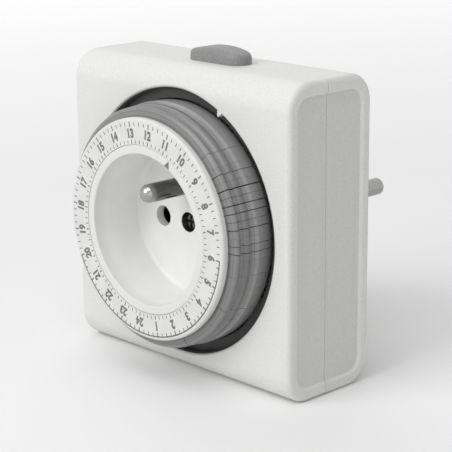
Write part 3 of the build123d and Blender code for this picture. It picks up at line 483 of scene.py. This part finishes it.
def add_bar(shape, width, start, end, angle, front, back):
    """A radial printed bar between two radii and two depths."""
    bar = bmesh.ops.create_cube(shape, size=1.0)["verts"]
    bmesh.ops.scale(shape, vec=(width, back - front, end - start), verts=bar)
    bmesh.ops.translate(shape, vec=(0, (front + back) / 2, 0), verts=bar)
    bmesh.ops.transform(shape, matrix=on_dial(angle, (start + end) / 2), verts=bar)


def add_arc(shape, inner, outer, start, end, front, back, steps):
    """A printed band between two radii, from one clockwise angle to another."""
    known = set(shape.verts)
    corners = ((inner, front), (outer, front), (outer, back), (inner, back))
    ring = [shape.verts.new((0, place, radius)) for radius, place in corners]
    face = shape.faces.new(ring)
    bmesh.ops.rotate(shape, cent=(0, 0, 0), matrix=Matrix.Rotation(start, 3, "Y"), verts=ring)
    bmesh.ops.spin(shape, geom=[face], cent=(0, 0, 0), axis=(0, 1, 0), angle=end - start, steps=steps)
    band = [vert for vert in shape.verts if vert not in known]
    bmesh.ops.translate(shape, vec=(0, 0, DIAL_HEIGHT), verts=band)
    made = [face for face in shape.faces if face.verts[0] not in known]
    bmesh.ops.recalc_face_normals(shape, faces=made)


# ---------------------------------------------------------------- sizes and colours
class TimerSizes(bpy.types.PropertyGroup):
    """Sizes of what is printed on the timer and of the tappets' fit."""

    hour_12_angle: FloatProperty(
        name="Hour 12",
        description="Where hour 12 stands, clockwise from the top",
        default=math.radians(5.4),
        unit="ROTATION",
    )
    ink_height: FloatProperty(
        name="Ink height",
        description="How far the print stands out of the dial",
        default=0.015 * MM,
        unit="LENGTH",
    )
    digit_height: FloatProperty(
        name="Digit height", description="Height of the hour numbers", default=2.15 * MM, unit="LENGTH"
    )
    digit_weight: FloatProperty(
        name="Digit weight", description="How much the strokes are widened", default=0.16 * MM, unit="LENGTH"
    )
    digit_width: FloatProperty(
        name="Digit width", description="Width of the numbers for their height", default=0.86, unit="NONE"
    )
    digit_radius: FloatProperty(
        name="Digit radius",
        description="Radius of the middle of the numbers",
        default=24.6 * MM,
        unit="LENGTH",
    )
    tight_gap: FloatProperty(
        name="Tight gap", description="Gap between tappets that lie close", default=0.004 * MM, unit="LENGTH"
    )
    open_gap: FloatProperty(
        name="Open gap", description="Widest gap between tappets", default=0.26 * MM, unit="LENGTH"
    )
    gap_seed: IntProperty(
        name="Height seed", description="Seed of how far out each tappet stands", default=5
    )


def colour(name, description, code):
    """A colour property whose default is given as an sRGB hex value."""
    return FloatVectorProperty(
        name=name, description=description, default=linear(code), size=4, min=0, max=1, subtype="COLOR"
    )


class TimerColours(bpy.types.PropertyGroup):
    """Colours of the finishes."""

    case_light: colour("Case, light", "Case between its grains", "#E9E9E8")
    case_dark: colour("Case, dark", "Case in its grains", "#E0E0DF")
    # Painted shade: this colour darkens the floors of the side panels.
    case_panel: colour("Case, side panels", "How much the side panels are dulled", "#F1F1F1")
    dial_light: colour("Dial, light", "Dial and the well's rim", "#E4E4E3")
    dial_dark: colour("Dial, dark", "Dial where clouded", "#DDDDDC")
    # Painted light: the well's whiter colours brighten its floor below the rim.
    well_light: colour("Well, light", "Socket well", "#F3F3F2")
    well_dark: colour("Well, dark", "Socket well where clouded", "#EEEEED")
    tappet_light: colour("Tappets, light", "Tappets on the crests of their flow lines", "#A0A0A0")
    tappet_dark: colour("Tappets, dark", "Tappets between their flow lines", "#707070")
    # Painted light: the paler colour of the tappets behind their second rib.
    tappet_tread: colour("Tappets, tread", "Tappets where they are rubbed", "#B6B6B6")
    knob_light: colour("Slide, light", "Override slide", "#8F8F8F")
    knob_dark: colour("Slide, dark", "Override slide in its grains", "#828282")
    ink_light: colour("Ink, thin", "Print where it is thin", "#808082")
    ink_dark: colour("Ink, full", "Print where it is full", "#646467")
    nickel_light: colour("Nickel, light", "Plug pins", "#A8A8A7")
    nickel_dark: colour("Nickel, dark", "Plug pins in their turning lines", "#A0A09F")
    # Painted reflection: the earth pin's shank colours stand in for dark things that it mirrors.
    worn_light: colour("Earth pin, light", "Earth pin where the nickel shines", "#6C6C6C")
    worn_dark: colour("Earth pin, dark", "Earth pin in its scuffs", "#606060")
    # Painted shade: the collar's dark grey stands for the shade in the gap round the tappets.
    collar_light: colour("Collar, light", "Collar in the opening", "#4A4A4B")
    collar_dark: colour("Collar, dark", "Collar in its turning marks", "#404041")
    # Painted shade: the dark colours of the well's screw and of its recess.
    black_zinc_light: colour("Black zinc, light", "The well's screw where its coat is thin", "#7C7C7D")
    black_zinc_dark: colour("Black zinc, dark", "The well's screw", "#606061")
    zinc_light: colour("Zinc, light", "Screws, axles and steel sheet", "#C9CCCF")
    zinc_dark: colour("Zinc, dark", "Steel where clouded", "#A5A9AD")
    brass_light: colour("Brass, light", "Contacts and strips", "#C4AC78")
    brass_dark: colour("Brass, dark", "Brass in its rolling lines", "#A38C5C")
    acetal_light: colour("Acetal, light", "Gears", "#EDEBE3")
    acetal_dark: colour("Acetal, dark", "Gears where clouded", "#DEDBD0")
    nylon_light: colour("Chassis, light", "Chassis where its fibres show", "#979A9D")
    nylon_dark: colour("Chassis, dark", "Chassis between its fibres", "#84878A")
    tape_light: colour("Coil tape, light", "Tape of the motor's coil", "#C48F33")
    tape_dark: colour("Coil tape, dark", "Tape between its turns", "#9C6E1F")


# ---------------------------------------------------------------- pieces
class TIMER_OT_case(bpy.types.Operator):
    """Build the two halves of the case"""

    bl_idname = "timer.case"
    bl_label = "Case"

    # (radius, depth behind the case's front), in millimetres. Pushed in, the tappets pass the inner edge at a
    # radius of 31.35, and the switch lever's tip stays behind the collar.
    COLLAR = ((34.53, 0.7), (34.2, 1.2), (34.2, 2.9), (31.6, 2.9), (31.6, 3.5), (34.53, 3.5))

    def execute(self, context):
        smoothed("front_shell", "case_front")
        smoothed("rear_shell", "case_rear")
        self.line_opening()
        return {"FINISHED"}

    def line_opening(self):
        """The dark collar whose flange narrows the gap round the tappets, against light and dust; its dark
        grey is painted shade in that gap.
        """
        section = [(radius, CASE_FRONT + depth * MM) for radius, depth in self.COLLAR]
        shape = spun_ring(section, DIAL_HEIGHT, steps=180)
        place_piece("opening_shade_collar", shape, "chassis_grey", "case", finish="collar")


class TIMER_OT_well(bpy.types.Operator):
    """Build the fixed socket well with its marker"""

    bl_idname = "timer.well"
    bl_label = "Socket well"

    # (radius, depth behind the crown of the screw's head), in millimetres
    EYELET = ((2.64, -0.95), (2.54, -0.8), (2.54, 1.7), (2.64, 1.7))
    # Where the marker stands, clockwise from the top, half its angle, and the radii of its foot and its tip
    MARKER_ANGLE = math.radians(27)
    MARKER_HALF = math.radians(2.6)
    MARKER_FOOT = 19.75 * MM
    MARKER_TIP = 21.6 * MM

    def execute(self, context):
        smoothed("socket_well", "well", finish="well_white")
        smoothed("earth_pin", "earth_contact", finish="worn_nickel")
        # Painted shade: the screw and the eyelet are dark to show the shade in the screw's recess.
        smoothed("centre_screw", "well_screw", finish="black_zinc")
        self.line_screw_recess()
        self.print_marker(context.scene.timer_sizes)
        return {"FINISHED"}

    def print_marker(self, sizes):
        """A triangle on the rim that points outwards, at the hour that is on."""
        shape = bmesh.new()
        foot, tip, half = self.MARKER_FOOT, self.MARKER_TIP, self.MARKER_HALF
        start = Vector((0, DIAL_FACE + sizes.ink_height, 0))
        verts = []
        for radius, turn in ((foot, -half), (tip, 0.0), (foot, half)):
            verts.append(shape.verts.new(on_dial(self.MARKER_ANGLE + turn, radius) @ start))
        grown = bmesh.ops.extrude_face_region(shape, geom=[shape.faces.new(verts)])["geom"]
        raised = [element for element in grown if isinstance(element, bmesh.types.BMVert)]
        bmesh.ops.translate(shape, vec=(0, -2 * sizes.ink_height, 0), verts=raised)
        bmesh.ops.recalc_face_normals(shape, faces=shape.faces)
        place_piece("well_marker", shape, "dial_white", "case", finish="ink")

    def line_screw_recess(self):
        """A dark eyelet that lines the screw's recess in the well's floor, as painted shade for the recess.
        """
        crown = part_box("centre_screw")[0].y
        section = [(radius, crown + depth * MM) for radius, depth in self.EYELET]
        shape = spun_ring(section, 0.0, steps=48)
        place_piece("well_eyelet_shade", shape, "zinc_steel", "case", finish="black_zinc")


class TIMER_OT_dial(bpy.types.Operator):
    """Build the dial with its printed hours"""

    bl_idname = "timer.dial"
    bl_label = "Dial"

    # Width, inner and outer radius of the bars of the outer and the inner scale, in millimetres
    HOUR_BARS = ((0.34, 26.2, 27.5), (0.3, 21.95, 22.95))
    QUARTER_BARS = ((0.24, 26.4, 27.35), (0.22, 22.0, 22.85))
    # The line along the night hours, which run from hour 6 back to hour 20 of the day before
    NIGHT_RADII = (27.2 * MM, 27.55 * MM)
    NIGHT_HOURS = (6, 20 - HOURS)
    NIGHT_STEPS = 60
    # How far the dial's inner edge is brought towards the fixed rim
    CLOSING = 0.13 * MM
    # Height of a numeral for a font size of one
    NUMERAL_HEIGHT = 0.7

    def execute(self, context):
        self.close_up(smoothed("dial_ring", "dial"))
        self.print_scale(context.scene.timer_sizes)
        self.print_numbers(context.scene.timer_sizes)
        return {"FINISHED"}

    def close_up(self, dial):
        """Brings the dial's inner edge nearer to the fixed rim, so that only a hairline shows."""
        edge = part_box("socket_well")[1].x + 0.3 * MM
        for vert in dial.data.vertices:
            out = Vector((vert.co.x, 0, vert.co.z - DIAL_HEIGHT))
            if out.length < edge and vert.co.y < DIAL_FACE + 2 * MM:
                vert.co -= out.normalized() * self.CLOSING

    def print_scale(self, sizes):
        """The bars of both scales and the line along the night hours."""
        shape = bmesh.new()
        front, back = DIAL_FACE - sizes.ink_height, DIAL_FACE + sizes.ink_height
        for step in range(TAPPETS):
            angle = hour_angle(0) - step * TURN / TAPPETS
            bars = self.QUARTER_BARS if step % QUARTERS else self.HOUR_BARS
            for width, start, end in bars:
                add_bar(shape, width * MM, start * MM, end * MM, angle, front, back)
        inner, outer = self.NIGHT_RADII
        start, end = [hour_angle(hour) for hour in self.NIGHT_HOURS]
        add_arc(shape, inner, outer, start, end, front, back, self.NIGHT_STEPS)
        place_piece("dial_scale", shape, "dial_white", "dial", finish="ink")

    def print_numbers(self, sizes):
        """The hours, each with its top outwards."""
        shape = bmesh.new()
        for hour in range(1, HOURS + 1):
            text = self.numeral(sizes, hour)
            shape.from_mesh(text)
            bpy.data.meshes.remove(text)
        bmesh.ops.remove_doubles(shape, verts=shape.verts, dist=MERGE_DISTANCE)
        place_piece("dial_numbers", shape, "dial_white", "dial", finish="ink")

    def numeral(self, sizes, hour):
        """The mesh of one hour's number, in its place on the dial."""
        curve = bpy.data.curves.new("number", "FONT")
        curve.body = str(hour)
        curve.align_x = "CENTER"
        curve.align_y = "CENTER"
        curve.size = sizes.digit_height / self.NUMERAL_HEIGHT
        curve.extrude = sizes.ink_height
        curve.offset = sizes.digit_weight
        curve.resolution_u = 3
        holder = bpy.data.objects.new("number", curve)
        text = bpy.data.meshes.new_from_object(holder)
        bpy.data.objects.remove(holder)
        low = Vector([min(v.co[i] for v in text.vertices) for i in range(3)])
        high = Vector([max(v.co[i] for v in text.vertices) for i in range(3)])
        # Text is made facing +Z with its top to +Y, and is turned to face -Y with its top to +Z.
        facing = Matrix(((1, 0, 0, 0), (0, 0, -1, 0), (0, 1, 0, 0), (0, 0, 0, 1)))
        width = Matrix.Diagonal((sizes.digit_width, 1, 1, 1))
        place = Matrix.Translation((0, DIAL_FACE, 0)) @ on_dial(hour_angle(hour), sizes.digit_radius)
        text.transform(place @ facing @ width @ Matrix.Translation(-(low + high) / 2))
        return text


class TIMER_OT_tappets(bpy.types.Operator):
    """Build the ninety-six tappets, four to an hour"""

    bl_idname = "timer.tappets"
    bl_label = "Tappets"

    # (radius, depth behind the tappet's front, corner rounding), in millimetres
    OUTLINE = (
        (26.3, 0.0, 0.0),
        (28.0, 0.0, 0.0),
        (28.3, 0.4, 0.1),
        (29.3, 0.35, 0.2),
        (30.4, 0.65, 0.3),
        (31.0, 1.3, 0.4),
        (30.75, 1.9, 0.3),
        (30.15, 2.2, 0.3),
        (30.15, 3.2, 0.3),
        (31.0, 3.6, 0.3),
        (31.15, 4.6, 0.4),
        (30.9, 5.3, 0.4),
        (30.95, 6.0, 0.4),
        (31.5, 7.3, 0.35),
        (31.4, 8.1, 0.4),
        (31.35, 11.5, 0.2),
        (30.6, 11.7, 0.1),
        (30.6, 12.85, 0.2),
        (26.3, 12.85, 0.0),
    )
    # The joints that stand open, counted clockwise from hour 12, with their share of the widest gap
    OPEN_JOINTS = {
        10: 0.35,
        13: 0.6,
        15: 1.0,
        16: 0.3,
        17: 0.8,
        18: 0.7,
        19: 0.35,
        20: 0.75,
        22: 0.5,
        23: 0.65,
        26: 0.25,
        31: 0.4,
        40: 0.6,
        54: 0.5,
        77: 0.6,
    }
    # The joints that stand open by a hair, and their share of the widest gap
    FAINT_JOINTS = (2, 12, 14, 21, 24, 28, 34, 47, 61, 70)
    FAINT_SHARE = 0.12
    # How much further out or in a tappet stands at most, and the chamfer of its edges, in millimetres
    LIFT = 0.01
    CHAMFER = 0.008

    def execute(self, context):
        sizes = context.scene.timer_sizes
        chance = random.Random(sizes.gap_seed)
        for hour in range(1, HOURS + 1):
            shape = bmesh.new()
            for quarter in range(QUARTERS):
                joint = (12 - hour) * QUARTERS - quarter
                middle = hour_angle(hour) - (quarter + 0.5) * TURN / TAPPETS
                before = self.gap_at(sizes, joint - 1) / 2
                after = self.gap_at(sizes, joint) / 2
                lift = chance.uniform(-self.LIFT, self.LIFT) * MM
                self.add_tappet(shape, middle, before, after, lift)
            piece = place_piece(f"tappets_{hour:02d}", shape, "tappet_grey", f"hour_{hour:02d}")
            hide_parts(f"tappets_hour_{hour:02d}")
        return {"FINISHED"}

    def gap_at(self, sizes, joint):
        """The gap between two tappets, by the joint's count clockwise from hour 12."""
        joint %= TAPPETS
        if joint in self.OPEN_JOINTS:
            return sizes.open_gap * self.OPEN_JOINTS[joint]
        return sizes.open_gap * self.FAINT_SHARE if joint in self.FAINT_JOINTS else sizes.tight_gap

    def add_tappet(self, shape, middle, gap_before, gap_after, lift):
        """One tappet: its outline is rounded at the corners, then given its wedge-shaped width."""
        single = bmesh.new()
        corners = []
        for radius, depth, rounding in self.OUTLINE:
            vert = single.verts.new((0, TAPPET_FRONT + depth * MM, radius * MM))
            corners.append((vert, rounding))
        single.faces.new([vert for vert, rounding in corners])
        for vert, rounding in corners:
            if rounding:
                bmesh.ops.bevel(
                    single,
                    geom=[vert],
                    offset=rounding * MM,
                    segments=2,
                    profile=0.5,
                    material=-1,
                    affect="VERTICES",
                )
        bmesh.ops.extrude_face_region(single, geom=single.faces[:])
        single.verts.ensure_lookup_table()
        half = len(single.verts) // 2
        slope = math.tan(TURN / TAPPETS / 2)
        for vert in single.verts[:half]:
            vert.co.x = -vert.co.z * slope + gap_before
        for vert in single.verts[half:]:
            vert.co.x = vert.co.z * slope - gap_after
        proud = [vert for vert in single.verts if vert.co.z > DIAL_RADIUS]
        bmesh.ops.translate(single, vec=(0, 0, lift), verts=proud)
        bmesh.ops.recalc_face_normals(single, faces=single.faces)
        # An edge round one of the two flat sides stays on its side, and the others run across, over 1 mm.
        rims = [edge for edge in single.edges if abs(edge.verts[0].co.x - edge.verts[1].co.x) < 0.5 * MM]
        bmesh.ops.bevel(
            single,
            geom=rims,
            offset=self.CHAMFER * MM,
            segments=1,
            profile=0.5,
            material=-1,
            affect="EDGES",
        )
        bmesh.ops.transform(single, matrix=on_dial(middle, 0), verts=single.verts)
        mesh = bpy.data.meshes.new("tappet")
        single.to_mesh(mesh)
        single.free()
        shape.from_mesh(mesh)
        bpy.data.meshes.remove(mesh)


class TIMER_OT_slide(bpy.types.Operator):
    """Build the override slide on top of the case"""

    bl_idname = "timer.slide"
    bl_label = "Override slide"

    def execute(self, context):
        smoothed("override_knob", "override_slide")
        return {"FINISHED"}


class TIMER_OT_plug(bpy.types.Operator):
    """Build the plug's pins and the screws"""

    bl_idname = "timer.plug"
    bl_label = "Plug"

    def execute(self, context):
        smoothed("plug_pins", "plug_contacts")
        smoothed("case_screws", "rear_screws")
        smoothed("rear_earth_sleeve", "earth_sleeve")
        smoothed("earth_clips", "plug_earth_clips")
        return {"FINISHED"}


class TIMER_OT_mechanism(bpy.types.Operator):
    """Give the pieces inside the case their finishes"""

    bl_idname = "timer.mechanism"
    bl_label = "Mechanism"

    def execute(self, context):
        for name, node in frame["nodes"].items():
            material = finish_of(node_slot(name))
            if not node.data.materials:
                node.data.materials.append(material)
            for holder in node.material_slots:
                holder.link = "OBJECT"
                holder.material = material
        return {"FINISHED"}


class TIMER_OT_stage(bpy.types.Operator):
    """Set up the floor, the lights and the camera"""

    bl_idname = "timer.stage"
    bl_label = "Stage"

    # Half the floor's side, and the colour of the room's light
    FLOOR_HALF = 6.0
    ROOM = linear("#F5F5F5")
    # Name, place, side and power in watts of each lamp
    LAMPS = (
        ("key", (-0.35, -1.9, 1.25), 1.6, 22.5),
        ("fill", (1.4, -0.9, 0.05), 1.2, 2.1),
        ("overhead", (0.35, -0.7, 1.7), 1.4, 9),
        ("back", (-0.9, 0.6, 1.4), 1.2, 4.5),
    )
    # The camera's place from the middle of the dial, on the plane of the case's front, and its directions
    CAMERA_PLACE = (289.482 * MM, -263.23 * MM, 105.394 * MM)
    CAMERA_RIGHT = (0.697929, 0.716121, -0.008215)
    CAMERA_UP = (-0.182651, 0.189076, 0.964828)
    # Its focal length and the width of its picture, in millimetres
    LENS = 126.563
    SENSOR = 36

    def execute(self, context):
        self.lay_floor(context.scene)
        self.light(context.scene)
        self.aim_camera(context.scene)
        context.scene.view_settings.view_transform = "Standard"
        return {"FINISHED"}

    def lay_floor(self, scene):
        """A wide pale floor under the case."""
        shape = bmesh.new()
        bmesh.ops.create_grid(shape, x_segments=1, y_segments=1, size=self.FLOOR_HALF)
        bmesh.ops.translate(shape, vec=(0, 0, cad_box[0][2]), verts=shape.verts)
        mesh = bpy.data.meshes.new("floor")
        shape.to_mesh(mesh)
        shape.free()
        floor = bpy.data.objects.new("floor", mesh)
        scene.collection.objects.link(floor)
        floor.data.materials.append(self.painted_board())

    def painted_board(self):
        """Matt pale paint, whiter where the camera sees it than in the light that it throws back."""
        material, tree, shader = start_material("Painted board, pale", Roughness=0.9, Specular_IOR_Level=0.2)
        cloud = grain(tree, 0.4, detail=1.0)
        board = shades(tree, cloud, linear("#EEEEED"), linear("#F1F1F0"))
        seen = self.seen_directly(tree)
        paint(tree, shader, mix(tree, seen, board, linear("#FCFCFC")))
        # Far from the object, where the lamps don't reach, the board fades into the pale room.
        fade = rise(tree, length(tree, coordinates(tree)), 0.2, 1.6, top=0.62)
        shader.inputs["Emission Color"].default_value = self.ROOM
        tree.links.new(maths(tree, "MULTIPLY", fade, seen), shader.inputs["Emission Strength"])
        return material

    def seen_directly(self, tree):
        """One where the camera sees a thing, also mirrored or through glass, and nought elsewhere."""
        path = add_node(tree, "ShaderNodeLightPath").outputs
        mirrored = maths(tree, "MAXIMUM", path["Is Glossy Ray"], path["Is Transmission Ray"])
        return maths(tree, "MAXIMUM", path["Is Camera Ray"], mirrored)

    def light(self, scene):
        """A broad key in front, softer lamps above and behind, a weak fill and an even room light."""
        for lamp in self.LAMPS:
            self.add_lamp(scene, *lamp)
        world = bpy.data.worlds.new("room")
        scene.world = world
        world.use_nodes = True
        tree = world.node_tree
        background = tree.nodes["Background"]
        background.inputs["Color"].default_value = self.ROOM
        strength = rise(tree, self.seen_directly(tree), 0.0, 1.0, bottom=0.4)
        tree.links.new(strength, background.inputs["Strength"])

    def add_lamp(self, scene, name, place, side, power):
        """A square lamp aimed at the origin."""
        lamp = bpy.data.lights.new(name, "AREA")
        lamp.size = side
        lamp.energy = power
        holder = bpy.data.objects.new(name, lamp)
        holder.location = place
        holder.rotation_euler = (-Vector(place)).to_track_quat("-Z", "Y").to_euler()
        scene.collection.objects.link(holder)

    def aim_camera(self, scene):
        """A long lens from the right and a little above."""
        right, up = Vector(self.CAMERA_RIGHT), Vector(self.CAMERA_UP)
        place = Vector(self.CAMERA_PLACE) + Vector((0, CASE_FRONT, DIAL_HEIGHT))
        camera = bpy.data.cameras.new("camera")
        camera.lens = self.LENS
        camera.sensor_width = self.SENSOR
        holder = bpy.data.objects.new("camera", camera)
        turn = Matrix((right, up, right.cross(up))).transposed().to_4x4()
        holder.matrix_world = Matrix.Translation(place) @ turn
        scene.collection.objects.link(holder)
        scene.camera = holder


class TIMER_PT_panel(bpy.types.Panel):
    """Lists the steps that build the timer"""

    bl_label = "Timer Switch"
    bl_idname = "TIMER_PT_panel"
    bl_space_type = "VIEW_3D"
    bl_region_type = "UI"
    bl_category = "Timer Switch"

    def draw(self, context):
        for group in (context.scene.timer_sizes, context.scene.timer_colours):
            for key in group.__annotations__:
                self.layout.prop(group, key)
        for step in STEPS:
            self.layout.operator(step.bl_idname)


STEPS = (
    TIMER_OT_mechanism,
    TIMER_OT_case,
    TIMER_OT_well,
    TIMER_OT_dial,
    TIMER_OT_tappets,
    TIMER_OT_slide,
    TIMER_OT_plug,
    TIMER_OT_stage,
)
CLASSES = (TimerSizes, TimerColours, *STEPS, TIMER_PT_panel)


def register():
    """Adds the classes and the scene's properties."""
    for item in CLASSES:
        bpy.utils.register_class(item)
    bpy.types.Scene.timer_sizes = PointerProperty(type=TimerSizes)
    bpy.types.Scene.timer_colours = PointerProperty(type=TimerColours)


def unregister():
    """Takes the classes and the scene's properties away."""
    del bpy.types.Scene.timer_colours
    del bpy.types.Scene.timer_sizes
    for item in reversed(CLASSES):
        bpy.utils.unregister_class(item)


def main():
    """Builds the timer and its stage."""
    register()
    bpy.ops.timer.mechanism()
    bpy.ops.timer.case()
    bpy.ops.timer.well()
    bpy.ops.timer.dial()
    bpy.ops.timer.tappets()
    bpy.ops.timer.slide()
    bpy.ops.timer.plug()
    bpy.ops.timer.stage()


if __name__ == "__main__":
    main()
